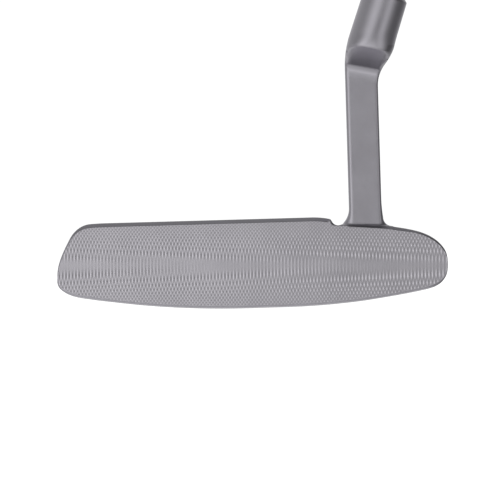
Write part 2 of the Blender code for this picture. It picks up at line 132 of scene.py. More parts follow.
# heel-side edge of the elbow seen from the front: (x, z, heading)
ELBOW_HEEL = ((36.0, 67.2, 90), (38.05, 73.5, 52.5), (41.25, 79.0, 71))
TOE_BEND = 2.0                       # softness of the toe-side bend from post into hosel
HOSEL_MERGE_Z = (79.0, 84.0)         # the heel-side bend reaches the hosel's own edge between these
TOE_FLARE_R = 6.4                    # toe-side flare of the neck's foot
TOE_FLARE_SPAN = 0.69 * TOE_FLARE_R
FLARE_TOP_Z = 30.0
HEEL_FLARE_R = 2.8
HEEL_FLARE_Z = 26.9
FOOT_SPREAD = 0.4                    # the heel side leans out and the back comes out, below these heights
FOOT_SPREAD_Z = 33.0
FOOT_BACK = 1.6
FOOT_BACK_Z = 31.0
FOOT_SPAN = 6.0
FOOT_TOP_Z = 34.0                    # below this the front edges round off as the foot widens
FOOT_MAX = 3.0
NECK_FLOOR_Z = 16.0
NECK_SPLIT_Z = 26.2                  # the weld between head and neck
NECK_SPLIT_X = 23.5
JOIN_FRONT = 0.35                    # fillet at the foot, in front
JOIN_BEHIND = 2.2                    # what it gains behind, from JOIN_TURN[0] back over JOIN_TURN[1]
JOIN_TURN = (3.0, 5.0)
HEAD_CLEAR_Z = 40.0                  # the head has no part above this

# ---- milling of the face ----
CUTTER_R = 17.5
FEED_TILT = math.radians(-1.7)
FEED_Z = 12.9
PITCH_MID = 1.05
PITCH_DRIFT = 0.00062                # the feed quickens towards the heel, mm per mm
GROOVE_NOSE_R = 1.5
GROOVE_TOP = (PITCH_MID / 2) ** 2 / (2 * GROOVE_NOSE_R)
PIT_SHADE = (0.08, 0.52)              # painted shade in the pits at mid height and beyond
PIT_MID = 0.5                        # the softest band is this far above the cutter's path
PIT_RISE = 3.4                       # mm from there over which the pattern deepens
BAND_RELIEF = 0.28                   # share of the relief that is left in that band
PIT_SHADE_FLOOR = 0.06                    # painted shade between the pits at the toe
CREST_SHADE = 0.68                    # painted shade between the crests at the heel
MARK_TURN_X = (-25.0, 30.0)          # pits give way to crests between these
HEEL_SHADE = 0.23                     # painted shade, darker towards the heel where the light falls off, from toe to heel end
HEEL_SHADE_X = (-64.0, 56.0)
FACE_STEP = (0.15, 0.2)              # grid of the milled face, along and up
FACE_X = (-64.4, 55.9)
FACE_Z = (0.2, 27.4)

# ---- painted shade in the neck's tight corners; each pair is the start and length of a ramp ----
FOOT_SHADE = 0.9                      # in the crease under the foot: strength, height below the edge, spread
FOOT_SHADE_DROP = 0.3
FOOT_SHADE_SPREAD = 0.37
FOOT_SHADE_TOE = (24.6, 1.2)
FOOT_SHADE_HEEL = (38.5, -3.0)
FOOT_SHADE_BACK = 0.6
ELBOW_SHADE = 0.62                    # on the elbow's underside: strength, and reach forward
ELBOW_SHADE_REACH = 8.5
ELBOW_SHADE_AHEAD = (0.7, 0.8)
ELBOW_SHADE_TOP = (80.0, -2.5)
ELBOW_SHADE_TOE = (0.6, 1.4)          # from the toe-side edge
ELBOW_SHADE_LOSS = 0.35               # how much of it is lost towards the heel
ELBOW_SHADE_HEEL = (33.5, 3.5)
INSIDE_SHADE = 0.3                    # along the heel-side edge inside the bend
INSIDE_SHADE_AHEAD = 1.7
INSIDE_SHADE_EDGE = (-2.6, 0.8)       # from the heel-side edge
BEND_Z = (66.0, 79.5)                # the bend lies between these

# ---- small parts, shaft and grip, as in the CAD ----
WEIGHT_R = 6.5
WEIGHT_HEIGHT = 5.6
SOCKET_FLAT = 2.5                    # centre to flat of the hexagon socket
SOCKET_DEPTH = 2.6
CLUB_LENGTH = 863.6
SHAFT_TIP_R = 4.7
SHAFT_BUTT_R = 7.365
SHAFT_WALL = 0.45
SHAFT_STEPS = 11
STEP_START_S = 196.0
STEP_PITCH = 34.0
STEP_TAPER = 1.5
PLUG_LENGTH = 9.0
TAPE_THICK = 0.3
GRIP_LENGTH = 267.0
CAP_THICK = 3.2
VENT_R = 1.2
GAP = 0.3
FIT = 0.12                           # clearance that shows round a weight and round the sight line's paint
WELL_RIM = 0.25
SLOT_RIM = 0.2
# grip section at fractions of its length from mouth to butt: (t, half-width, front depth, back depth)
GRIP_SECTIONS = (
    (0.00, 9.9, 9.4, 9.9),
    (0.03, 10.4, 9.7, 10.5),
    (0.25, 11.0, 10.0, 11.6),
    (0.50, 11.8, 10.5, 13.0),
    (0.68, 12.3, 10.8, 15.4),
    (0.80, 12.8, 11.1, 18.4),
    (0.90, 13.2, 11.4, 19.6),
    (0.96, 13.3, 11.5, 19.0),
    (1.00, 12.7, 11.2, 17.8),
)

CELL = 0.34                          # lattice of the head and neck mesh
HEAD_BOX = (-66, -15, -1), (58, 15, 36)
NECK_BOX = (22, -28, 20), (49, 2, 101)
FAR = 1e9


def shaft_frame():
    return Matrix.Translation((SHAFT_FOOT_X * MM, SHAFT_Y * MM, 0)) @ Matrix.Rotation(LEAN, 4, "Y")


# ---- outlines ----

def ramp(value, start, length):
    """0 up to start, then up to 1 over length; a negative length runs the other way."""
    return np.clip((value - start) / length, 0, 1)


def span(value, ends):
    return ramp(value, ends[0], ends[1] - ends[0])


def ease(f):
    return f * f * (3 - 2 * f)


def curve_through(points, steps):
    """Smooth curve through points that each give a place in mm and a heading in degrees."""
    curve = []
    for (x0, y0, a0), (x1, y1, a1) in zip(points, points[1:]):
        turn = math.radians(abs(a1 - a0))
        reach = math.hypot(x1 - x0, y1 - y0) / (3 * math.cos(turn / 4) ** 2)
        c0 = (x0 + reach * math.cos(math.radians(a0)), y0 + reach * math.sin(math.radians(a0)))
        c1 = (x1 - reach * math.cos(math.radians(a1)), y1 - reach * math.sin(math.radians(a1)))
        for i in range(steps):
            t = i / steps
            weights = ((1 - t) ** 3, 3 * t * (1 - t) ** 2, 3 * t * t * (1 - t), t ** 3)
            curve.append((sum(w * p for w, p in zip(weights, (x0, c0[0], c1[0], x1))),
                          sum(w * p for w, p in zip(weights, (y0, c0[1], c1[1], y1)))))
    curve.append(points[-1][:2])
    return curve


def sole_height(x):
    radius = np.where(np.asarray(x) < 0, SOLE_R_TOE, SOLE_R_HEEL)
    return np.maximum(np.abs(x) - SOLE_LAND, 0.0) ** 2 / (2 * radius)


def front_outline():
    heel_end, toe_end = HEEL_CURVE[-1][0], TOE_CURVE[0][0]
    sole_x = np.linspace(heel_end, toe_end, 80)[1:-1]
    points = [(x, float(sole_height(x))) for x in sole_x]
    points += curve_through(TOE_CURVE, 24)
    points += curve_through(TOPLINE_END, 8)
    cx, cz = NOTCH_CENTRE
    for degrees in np.linspace(-160, -76, 14):
        angle = math.radians(degrees)
        points.append((cx + NOTCH_R * math.cos(angle), cz + NOTCH_R * math.sin(angle)))
    points += curve_through(SHOULDER, 6)[1:-1]
    points += curve_through(HEEL_CURVE, 24)
    return points


def plan_outline():
    ahead = FACE_Y - 20
    points = [(PLAN_HEEL[0][0], ahead)]
    points += curve_through(PLAN_HEEL, 24)
    points += curve_through(PLAN_TOE, 24)
    points.append((PLAN_TOE[-1][0], ahead))
    return points


class Outline:
    """Signed distance to a closed outline (negative inside), read from a fine grid."""

    def __init__(self, points, cell=0.15, margin=4.0):
        start = np.array(points, float)
        end = np.roll(start, -1, axis=0)
        self.cell = cell
        self.low = start.min(0) - margin
        count = np.ceil((start.max(0) + margin - self.low) / cell).astype(int) + 2
        u = self.low[0] + cell * np.arange(count[0])[:, None]
        v = self.low[1] + cell * np.arange(count[1])[None, :]
        best = np.full(tuple(count), FAR)
        inside = np.zeros(tuple(count), bool)
        for (ax, ay), (bx, by) in zip(start, end):
            ex, ey = bx - ax, by - ay
            length = ex * ex + ey * ey
            if length < 1e-12:
                continue
            t = np.clip(((u - ax) * ex + (v - ay) * ey) / length, 0, 1)
            best = np.minimum(best, (u - ax - t * ex) ** 2 + (v - ay - t * ey) ** 2)
            if ay != by:
                crosses = (ay > v) != (by > v)
                inside ^= crosses & (u < ex * (v - ay) / ey + ax)
        self.distance = np.where(inside, -1.0, 1.0) * np.sqrt(best)
        self.slope_v = np.gradient(self.distance, cell, axis=1)

    def read(self, table, u, v):
        fu = np.clip((u - self.low[0]) / self.cell, 0, table.shape[0] - 1.001)
        fv = np.clip((v - self.low[1]) / self.cell, 0, table.shape[1] - 1.001)
        i, j = fu.astype(int), fv.astype(int)
        du, dv = fu - i, fv - j
        low = table[i, j] * (1 - dv) + table[i, j + 1] * dv
        high = table[i + 1, j] * (1 - dv) + table[i + 1, j + 1] * dv
        return low * (1 - du) + high * du

    def __call__(self, u, v):
        return self.read(self.distance, u, v)


FRONT = Outline(front_outline())
PLAN = Outline(plan_outline())


# ---- solids as distance fields: negative inside, in mm ----
# factors just under 1 bring the field of a slanting side back to true distance

def cut(a, b, r):
    """What is inside both a and b, with the edge between them rounded to radius r."""
    return np.minimum(np.maximum(a, b), -r) + np.hypot(np.maximum(a + r, 0), np.maximum(b + r, 0))


def join(a, b, r):
    """What is inside a or b, with a fillet of radius r between them."""
    return np.maximum(np.minimum(a, b), r) - np.hypot(np.maximum(r - a, 0), np.maximum(r - b, 0))


def bevel(a, b, width):
    """What is inside both, with a flat 45 degree edge."""
    return np.maximum(np.maximum(a, b), (a + b + width) * math.sqrt(0.5))


def soft_max(a, b, k):
    h = np.maximum(k - np.abs(a - b), 0) / k
    return np.maximum(a, b) + h * h * k / 4


def face_y(z):
    return FACE_Y + z * math.tan(LOFT)


def chamfer_width(x, z):
    """Width of the flat round the face: wide along topline and sole, narrow round toe and heel."""
    slope = FRONT.read(FRONT.slope_v, x, z)
    top = np.interp(x, CHAMFER_TOP_X, CHAMFER_TOP)
    return CHAMFER_MIN + np.where(slope > 0, top, CHAMFER_SOLE) * np.clip(slope * slope, 0, 1)


def bumper_field(y, z):
    """Below the stepped tops of the two bumpers."""
    def below(p, q):
        (y0, z0), (y1, z1) = p, q
        length = math.hypot(y1 - y0, z1 - z0)
        return ((y - y0) * (z0 - z1) + (z - z0) * (y1 - y0)) / length
    upper = below(*BUMPER_PROFILE[0:2])
    riser = below(*BUMPER_PROFILE[1:3])
    lower = below(*BUMPER_PROFILE[2:4])
    return join(cut(upper, riser, BUMPER_STEP_R), lower, BUMPER_STEP_FILLET)


def flange_z(y):
    wall = face_y(TOPLINE_Z) + TOPLINE_THICK
    return FLANGE_Z_FRONT + (FLANGE_Z_REAR - FLANGE_Z_FRONT) * (y - wall) / 20.0


def weight_axis(node):
    """Centre of a sole weight's outer face and its outward normal, from the CAD solid."""
    low, high = (np.array(corner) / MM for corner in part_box(node))
    x = float((low[0] + high[0]) / 2)
    slope = float(sole_height(x + 0.5) - sole_height(x - 0.5))
    normal = np.array([slope, 0.0, -1.0]) / math.hypot(slope, 1)
    middle = (low + high) / 2
    return middle + normal * WEIGHT_HEIGHT / 2, normal


WEIGHTS = {node: weight_axis(node) for node in ("toe_weight", "heel_weight")}
SIGHT_LOW, SIGHT_HIGH = (np.array(corner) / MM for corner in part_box("sight_line"))


def slot_field(x, y, z, margin):
    """Round-ended slot of the sight line, open upwards; margin is its clearance round the paint."""
    centre = (SIGHT_LOW + SIGHT_HIGH) / 2
    half_width = (SIGHT_HIGH[0] - SIGHT_LOW[0]) / 2 + margin
    reach = (SIGHT_HIGH[1] - SIGHT_LOW[1]) / 2 + margin - half_width
    plan = np.hypot(x - centre[0], np.maximum(np.abs(y - centre[1]) - reach, 0)) - half_width
    return np.maximum(plan, SIGHT_LOW[2] - margin - z)


def head_field(x, y, z):
    outer = FRONT(x, z)
    front = (face_y(z) - y) * math.cos(LOFT)
    width = chamfer_width(x, z)
    depth = width * CHAMFER_DEPTH
    chamfer = (outer / width + front / depth + 1) * width * depth / np.hypot(width, depth)
    solid = np.maximum(np.maximum(outer, front + FACE_RECESS), chamfer)
    solid = cut(solid, PLAN(x, y), PLAN_EDGE_R)
    solid = np.maximum(solid, sole_height(x) + y * y / (2 * SOLE_ROCK_R) - z)
    wall = face_y(TOPLINE_Z) + TOPLINE_THICK
    keep = join(bumper_field(y, z), y - wall, WALL_FILLET)
    solid = cut(solid, keep, EDGE_R)
    half = POCKET_HALF + POCKET_FLARE * (z - FLANGE_Z_FRONT) / (TOPLINE_Z - FLANGE_Z_FRONT)
    side = (np.abs(x - HEAD_MID_X) - half) * 0.97
    pocket = cut(cut(side, flange_z(y) - z, POCKET_FILLET), wall - y, WALL_FILLET)
    solid = cut(solid, -pocket, EDGE_R)
    for centre, normal in WEIGHTS.values():
        px, py, pz = x - centre[0], y - centre[1], z - centre[2]
        along = px * normal[0] + pz * normal[2]
        radial = np.sqrt(np.maximum(px * px + py * py + pz * pz - along * along, 0))
        well = np.maximum(radial - WEIGHT_R - FIT, -along - WEIGHT_HEIGHT - GAP)
        solid = cut(solid, -well, WELL_RIM)
    return bevel(solid, -slot_field(x, y, z, FIT), SLOT_RIM)


def toe_side(z):
    """Toe-side edge of the neck seen from the front: flared foot, upright post, soft bend into the hosel."""
    below = np.clip(FLARE_TOP_Z - z, 0, TOE_FLARE_SPAN)
    foot = POST_X[0] - TOE_FLARE_R + np.sqrt(TOE_FLARE_R ** 2 - below ** 2)
    cx, cz = NOTCH_CENTRE
    notch = cx + np.sqrt(np.maximum(NOTCH_R ** 2 - (cz - z) ** 2, 0))
    foot = np.where(z < FLARE_TOP_Z - TOE_FLARE_SPAN, np.minimum(foot, notch), foot)
    return soft_max(foot, hosel_edge(z, -1), TOE_BEND)


def hosel_edge(z, side):
    centre = SHAFT_FOOT_X + z * math.tan(LEAN)
    along = z / math.cos(LEAN)
    return centre + side * hosel_radius(along) / math.cos(LEAN)


def hosel_radius(along):
    return HOSEL_R_LOW + (HOSEL_R_TOP - HOSEL_R_LOW) * (along - HOSEL_LOW_S) / (HOSEL_TOP_S - HOSEL_LOW_S)


HEEL_BEND = np.array(curve_through(ELBOW_HEEL, 16))


def heel_side(z):
    """Heel-side edge of the neck seen from the front."""
    low = z < ELBOW_HEEL[0][1]
    high = z > ELBOW_HEEL[-1][1]
    bend = np.interp(z, HEEL_BEND[:, 1], HEEL_BEND[:, 0])
    shift = ELBOW_HEEL[-1][0] - hosel_edge(np.array(ELBOW_HEEL[-1][1]), 1)
    fade = span(z, HOSEL_MERGE_Z[::-1])
    edge = np.where(low, POST_X[1], np.where(high, hosel_edge(z, 1) + shift * fade, bend))
    lean_out = FOOT_SPREAD * ramp(z, FOOT_SPREAD_Z, -FOOT_SPAN) ** 2
    drop = np.clip(HEEL_FLARE_Z - z, 0, HEEL_FLARE_R)
    flare = HEEL_FLARE_R - np.sqrt(HEEL_FLARE_R ** 2 - drop ** 2)
    return edge + lean_out + np.where(z < HEEL_FLARE_Z, flare, 0)


def post_field(x, y, z):
    """Upright bar between the neck's two side edges; its front edges are tighter on the heel side."""
    toe = toe_side(z) - x
    heel = x - heel_side(z)
    low = z < FOOT_TOP_Z
    toe_r = POST_EDGE_TOE + np.where(low, np.clip(POST_X[0] - toe_side(z), 0, FOOT_MAX), 0)
    heel_r = POST_EDGE_HEEL + np.where(low, np.clip(heel_side(z) - POST_X[1], 0, FOOT_MAX), 0)
    swell = np.clip(z - SWELL_Z + (x - POST_X[0]) * ELBOW_TILT, 0, SWELL_REACH)
    front = POST_Y[0] - SWELL * swell ** 2 - y
    back = y - POST_Y[1] - FOOT_BACK * ramp(z, FOOT_BACK_Z, -FOOT_SPAN) ** 2
    bar = cut(toe, front, toe_r)
    bar = np.maximum(bar, cut(heel, front, heel_r))
    bar = np.maximum(bar, cut(toe, back, POST_EDGE_BACK))
    return np.maximum(bar, cut(heel, back, POST_EDGE_BACK))


def neck_field(x, y, z):
    """Post, elbow and hosel."""
    lean_sin, lean_cos = math.sin(LEAN), math.cos(LEAN)
    px, py = x - SHAFT_FOOT_X, y - SHAFT_Y
    along = px * lean_sin + z * lean_cos
    across = px * lean_cos - z * lean_sin
    radial = np.hypot(across, py)
    hosel = radial - hosel_radius(along)

    # elbow: between the same two side edges, its front bulging as the hosel does
    toe, heel = toe_side(z), heel_side(z)
    middle, half = (toe + heel) / 2, (heel - toe) / 2
    sideways = np.abs(x - middle) / half
    blend = ease(span(z, ELBOW_BLEND_Z))
    reach = HOSEL_R_LOW - ELBOW_DRAFT * (1 - span(z, ELBOW_DRAFT_Z)) ** 2
    ahead = np.maximum(SHAFT_Y - y, 0) / reach
    section = (sideways ** ELBOW_SQUARE + ahead ** ELBOW_SQUARE) ** (1 / ELBOW_SQUARE)
    sides = (section - 1) * half * 0.93
    front = sides * (1 - blend) + hosel * blend
    top = (z - ELBOW_TOP_Z + (x - POST_X[0]) * math.tan(LEAN)) * lean_cos
    back_slope = (y - POST_Y[1] + top + CROWN_CUT) * math.sqrt(0.5)
    crown = join(soft_max(top, back_slope, CROWN_R), hosel, CROWN_FILLET)
    rear = np.minimum(cut(cut(sides, y - POST_Y[1], POST_EDGE_BACK), crown, 1.0), hosel)
    upper = np.where(y < SHAFT_Y, front, rear)
    t = POST_Y[0] - y
    under = ELBOW_LOW_Z - (x - POST_X[0]) * ELBOW_TILT + t * math.tan(ELBOW_RISE) - ELBOW_EASE * t * t - z
    under = under * math.cos(ELBOW_RISE) * 0.97
    corner = ease(ramp(sideways, *ELBOW_CORNER))
    upper = cut(upper, under, ELBOW_RIM[0] + ELBOW_RIM[1] * corner)
    upper = bevel(upper, along - HOSEL_TOP_S, HOSEL_RIM)

    post = np.maximum(post_field(x, y, z), z - ELBOW_POST_TOP_Z)
    post = np.maximum(post, NECK_FLOOR_Z - z)
    neck = join(post, upper, np.where(y < ELBOW_FILLET_Y, ELBOW_FILLET, ELBOW_FILLET_REAR))
    neck = np.maximum(neck, (toe - x) * 0.97)
    neck = np.maximum(neck, (x - heel) * 0.8)
    bore = np.maximum(radial - BORE_R, HOSEL_TOP_S - BORE_DEPTH - along)
    return bevel(neck, -bore, BORE_RIM)


def club_field(x, y, z):
    """Head and neck in one; the foot meets the head with a tight fillet in front, a wide one behind."""
    head = head_field(x, y, z)
    neck = neck_field(x, y, z)
    behind = ramp(y, POST_Y[0] + JOIN_TURN[0], JOIN_TURN[1])
    radius = JOIN_FRONT + JOIN_BEHIND * behind
    return np.where(z < HEAD_CLEAR_Z, join(head, neck, radius), neck)


def weight_field(x, y, z):
    """Sole weight about its own axis, outer face at z = 0 looking down: a disc with a hexagon socket."""
    radial = np.hypot(x, y)
    disc = bevel(radial - WEIGHT_R, -z, 0.5)
    disc = bevel(disc, z - WEIGHT_HEIGHT, 0.4)
    # turning marks 0.9 mm apart, 0.02 mm deep, inside a radius of 4.8
    rings = 0.02 * np.cos(radial * 2 * math.pi / 0.9) * np.clip(4.8 - radial, 0, 1)
    disc = np.maximum(disc, rings - z)
    hexagon = np.full(np.shape(x), -FAR)
    for k in range(3):
        angle = math.radians(30 + 60 * k)
        hexagon = np.maximum(hexagon, np.abs(x * math.cos(angle) + y * math.sin(angle)) - SOCKET_FLAT)
    socket = np.maximum(hexagon, z - SOCKET_DEPTH)
    return bevel(disc, -socket, 0.35)


def paint_field(x, y, z):
    """Paint fill of the sight line, its top drawn down a little in the middle."""
    middle = (SIGHT_LOW[0] + SIGHT_HIGH[0]) / 2
    top = SIGHT_HIGH[2] - 0.12 * np.exp(-((x - middle) / 0.45) ** 2)
    return cut(slot_field(x, y, z, 0.0), z - top, 0.08)


def lattice(field, low, high, cell):
    """Samples of a field on lattice points low..high, in whole cells."""
    xs, ys, zs = (np.arange(a, b + 1) * cell for a, b in zip(low, high))
    block = np.empty((len(xs), len(ys), len(zs)), np.float32)
    for start in range(0, len(xs), 24):
        part = xs[start:start + 24]
        x, y, z = np.meshgrid(part, ys, zs, indexing="ij")
        block[start:start + 24] = field(x, y, z)
    return block


def isosurface(field, low_mm, high_mm, cell_size=CELL):
    """Closed quads on the zero level of a field, with the points pulled onto it.

    Each lattice cell that the surface passes through holds one point. The lattice is anchored at the
    origin, so two boxes that overlap give the same points there."""
    low = [math.floor(v / cell_size) for v in low_mm]
    high = [math.ceil(v / cell_size) for v in high_mm]
    value = lattice(field, low, high, cell_size)
    nx, ny, nz = (n - 1 for n in value.shape)
    total = np.zeros((nx, ny, nz), np.float32)
    place = np.zeros((nx, ny, nz, 3), np.float32)
    quads = []
    for axis in range(3):
        a = [slice(None)] * 3
        b = [slice(None)] * 3
        a[axis], b[axis] = slice(0, -1), slice(1, None)
        va, vb = value[tuple(a)], value[tuple(b)]
        crossing = (va < 0) != (vb < 0)
        index = np.argwhere(crossing)
        wa, wb = va[crossing], vb[crossing]
        point = index.astype(np.float32)
        point[:, axis] += wa / (wa - wb)
        others = [k for k in range(3) if k != axis]
        shape = np.array([nx, ny, nz])
        ring = []
        for du, dv in ((0, 0), (-1, 0), (-1, -1), (0, -1)):
            cell = index.copy()
            cell[:, others[0]] += du
            cell[:, others[1]] += dv
            ring.append(cell)
            good = ((cell >= 0) & (cell < shape)).all(1)
            c = cell[good]
            np.add.at(total, (c[:, 0], c[:, 1], c[:, 2]), 1)
            np.add.at(place, (c[:, 0], c[:, 1], c[:, 2]), point[good])
        whole = np.ones(len(index), bool)
        for cell in ring:
            whole &= ((cell >= 0) & (cell < shape)).all(1)
        flat = np.stack([np.ravel_multi_index(tuple(cell[whole].T), (nx, ny, nz)) for cell in ring], 1)
        flip = (wa < 0)[whole] != (axis == 1)
        flat[flip] = flat[flip][:, ::-1]
        quads.append(flat)
    quads = np.concatenate(quads)[:, ::-1]
    used, quads = np.unique(quads, return_inverse=True)
    quads = quads.reshape(-1, 4)
    cells = np.stack(np.unravel_index(used, (nx, ny, nz)), 1)
    where = tuple(cells.T)
    points = place[where] / total[where][:, None]
    points = (points.astype(float) + np.array(low)) * cell_size
    return pull_onto(field, points, cell_size), quads


def pull_onto(field, points, cell_size):
    """Newton steps down the field's gradient, each held to a fraction of a cell."""
    step = 0.02
    for _ in range(4):
        x, y, z = points.T
        here = field(x, y, z)
        slope = np.stack([field(x + step, y, z) - field(x - step, y, z),
                          field(x, y + step, z) - field(x, y - step, z),
                          field(x, y, z + step) - field(x, y, z - step)], 1) / (2 * step)
        move = -here[:, None] * slope / np.maximum((slope ** 2).sum(1), 0.2)[:, None]
        size = np.linalg.norm(move, axis=1, keepdims=True)
        points = points + move * np.minimum(1, 0.4 * cell_size / np.maximum(size, 1e-9))
    return points


# ---- making objects ----

def mesh_object(name, points_mm, faces, mat, matrix=None, smooth=True, sharp=None):
    mesh = bpy.data.meshes.new(name)
    points = np.asarray(points_mm, np.float32) * MM
    faces = np.asarray(faces, np.int32)
    sides = faces.shape[1]
    mesh.vertices.add(len(points))
    mesh.vertices.foreach_set("co", points.ravel())
    mesh.loops.add(faces.size)
    mesh.loops.foreach_set("vertex_index", faces.ravel())
    mesh.polygons.add(len(faces))
    mesh.polygons.foreach_set("loop_start", np.arange(0, faces.size, sides, dtype=np.int32))
    mesh.polygons.foreach_set("loop_total", np.full(len(faces), sides, np.int32))
    mesh.update(calc_edges=True)
    mesh.validate()
    if smooth:
        mesh.shade_smooth()
        if sharp:
            mesh.set_sharp_from_angle(angle=math.radians(sharp))
    obj = bpy.data.objects.new(name, mesh)
    bpy.context.scene.collection.objects.link(obj)
    mesh.materials.append(mat)
    if matrix is not None:
        obj.matrix_world = matrix
    return obj


def settle(obj, slot, *nodes):
    """Join a piece to the frame: it rides on the body and stands for CAD nodes."""
    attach(obj, BODY)
    if nodes:
        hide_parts(*nodes)
    return obj


def pick(points, quads, chosen):
    """Part of a mesh: the chosen quads with the points that they use."""
    used, faces = np.unique(quads[chosen], return_inverse=True)
    return points[used], faces.reshape(-1, 4)


# ---- head and neck ----

def on_neck(centre):
    return (centre[:, 0] > NECK_SPLIT_X) & (centre[:, 2] > NECK_SPLIT_Z)


def behind_face(centre):
    """The floor behind the milled face, which nobody sees."""
    x, y, z = centre.T
    depth = (face_y(z) - y) * math.cos(LOFT) + FACE_RECESS
    rim = FACE_RIM * chamfer_width(x, z) + FLOOR_RIM
    return (np.abs(depth) < FLOOR_FLAT) & (FRONT(x, z) < -rim)


def make_head_and_neck(steel):
    points, quads = isosurface(club_field, *HEAD_BOX)
    centre = points[quads].mean(1)
    make_steel("head", points, quads, ~on_neck(centre) & ~behind_face(centre), steel, "head_body")
    points, quads = isosurface(club_field, *NECK_BOX)
    make_steel("neck", points, quads, on_neck(points[quads].mean(1)), steel, "plumber_neck")


def make_steel(name, points, quads, chosen, steel, node):
    kept, faces = pick(points, quads, chosen)
    obj = mesh_object(name, kept, faces, steel)
    # painted shade in the corners, stored on the points for the material
    store_painted_shade(obj, corner_painted_shade(kept))
    settle(obj, "satin_steel", node)


def corner_painted_shade(points):
    """Painted shade in the tight corners: at the foot of the neck, under the elbow and inside its bend."""
    x, y, z = points.T
    shoulder = np.interp(x, (SHOULDER[0][0], SHOULDER[1][0]), (SHOULDER[0][1], SHOULDER[1][1]))
    foot = FOOT_SHADE * ramp(x, *FOOT_SHADE_TOE) * ramp(x, *FOOT_SHADE_HEEL)
    foot = foot * np.exp(-((z - shoulder + FOOT_SHADE_DROP) / FOOT_SHADE_SPREAD) ** 2)
    foot = foot * (y < POST_Y[0] + FOOT_SHADE_BACK)
    ahead = np.maximum(POST_Y[0] - y, 0)
    elbow = ELBOW_SHADE * np.exp(-(ahead / ELBOW_SHADE_REACH) ** 2) * ramp(ahead, *ELBOW_SHADE_AHEAD)
    elbow = elbow * (z > BEND_Z[0]) * ramp(z, *ELBOW_SHADE_TOP) * ramp(x - toe_side(z), *ELBOW_SHADE_TOE)
    elbow = elbow * (1 - ELBOW_SHADE_LOSS * ramp(x, *ELBOW_SHADE_HEEL))
    inside = INSIDE_SHADE * ramp(x - heel_side(z), *INSIDE_SHADE_EDGE) * (z > BEND_Z[0]) * (z < BEND_Z[1])
    inside = inside * (ahead > INSIDE_SHADE_AHEAD)
    return np.maximum(foot, np.maximum(elbow, inside))


def store_painted_shade(obj, painted_shade):
    # the painted shade is kept as a point attribute that the steel materials read
    shade = obj.data.attributes.new("painted_shade", "FLOAT", "POINT")
    shade.data.foreach_set("value", painted_shade.astype(np.float32))


def groove_depth(x, z):
    """Depth of the fly-cut scallops, and the painted shade on them.

    The surface is the lower envelope of the cutter's leading and trailing arcs. Towards the toe painted
    shade darkens the places where grooves cross; towards the heel only the places where crests cross stay
    bright."""
    mid = x - HEAD_MID_X
    along = mid * math.cos(FEED_TILT) + (z - FEED_Z) * math.sin(FEED_TILT)
    off = -mid * math.sin(FEED_TILT) + (z - FEED_Z) * math.cos(FEED_TILT)
    arc = np.sqrt(CUTTER_R ** 2 - off ** 2)
    lean = arc / CUTTER_R
    height = np.full(np.shape(x), FAR)
    pits, crests = np.ones(np.shape(x)), np.ones(np.shape(x))
    for side in (-1, 1):
        lead = along + side * arc
        pitch = PITCH_MID + PITCH_DRIFT * lead
        turn = np.log1p(PITCH_DRIFT * lead / PITCH_MID) / PITCH_DRIFT
        away = (turn - np.floor(turn) - 0.5) * pitch * lean
        height = np.minimum(height, away ** 2 / (2 * GROOVE_NOSE_R))
        wave = 0.5 + 0.5 * np.cos(2 * math.pi * turn)
        pits *= 1 - wave
        crests *= wave
    rise = ease(ramp(np.abs(off - PIT_MID), 0, PIT_RISE))
    tint = PIT_SHADE[0] + (PIT_SHADE[1] - PIT_SHADE[0]) * rise
    heel = ease(span(x, MARK_TURN_X))
    # painted shade of the milling marks: groove crossings dark towards the toe, all but the crest crossings
    # dark towards the heel
    marks = (pits + PIT_SHADE_FLOOR) * (1 - heel) + (1 - crests) * CREST_SHADE * heel
    depth = GROOVE_TOP - height * (BAND_RELIEF + (1 - BAND_RELIEF) * rise)
    # the last term is painted shade: the middle band darker towards the heel, where the light falls off
    return depth, tint * marks + HEEL_SHADE * span(x, HEEL_SHADE_X) * (1 - rise)


def make_face(milled):
    """Milled face: a fine grid inside the chamfer, its outer points drawn onto the chamfer's edge."""
    xs = np.arange(*FACE_X, FACE_STEP[0])
    zs = np.arange(*FACE_Z, FACE_STEP[1])
    x, z = (a.copy() for a in np.meshgrid(xs, zs, indexing="ij"))

    def rim(u, v):
        return FRONT(u, v) + FACE_RIM * chamfer_width(u, v)

    level = rim(x, z)
    inside = level < 0
    quad_inside = inside[:-1, :-1] | inside[1:, :-1] | inside[1:, 1:] | inside[:-1, 1:]
    near = (~inside) & (level < 0.6)
    for _ in range(5):
        u, v = x[near], z[near]
        value = rim(u, v)
        gu = (rim(u + 0.05, v) - rim(u - 0.05, v)) / 0.1
        gv = (rim(u, v + 0.05) - rim(u, v - 0.05)) / 0.1
        norm = np.maximum(gu * gu + gv * gv, 0.3)
        x[near] = u - value * gu / norm
        z[near] = v - value * gv / norm
    number = np.arange(x.size).reshape(x.shape)
    quads = np.stack([number[:-1, :-1], number[1:, :-1], number[1:, 1:], number[:-1, 1:]], -1)
    quads = quads[quad_inside]
    depth, painted_shade = groove_depth(x, z)
    y = face_y(z) + depth / math.cos(LOFT)
    points = np.stack([x.ravel(), y.ravel(), z.ravel()], 1)
    used, faces = np.unique(quads, return_inverse=True)
    face = mesh_object("milled_face", points[used], faces.reshape(-1, 4), milled)
    # painted shade of the milling marks and of the corners, stored on the points
    store_painted_shade(face, np.maximum(painted_shade.ravel()[used], corner_painted_shade(points[used])))
    settle(face, "satin_steel")


# ---- weights and sight line ----

def make_weights(mat):
    for node, (centre, normal) in WEIGHTS.items():
        points, quads = isosurface(weight_field, (-7, -7, -0.5), (7, 7, 6.5), 0.24)
        up = Vector(-normal)
        matrix = Matrix.Translation(Vector(centre) * MM) @ up.to_track_quat("Z", "Y").to_matrix().to_4x4()
        settle(mesh_object(node + "_disc", points, quads, mat, matrix, sharp=35), "weight_steel", node)


def make_sight_line(mat):
    low, high = SIGHT_LOW - 0.5, SIGHT_HIGH + 0.5
    points, quads = isosurface(paint_field, low, high, 0.12)
    settle(mesh_object("sight_paint", points, quads, mat), "black_paint", "sight_line")


# ---- turned pieces and grip ----

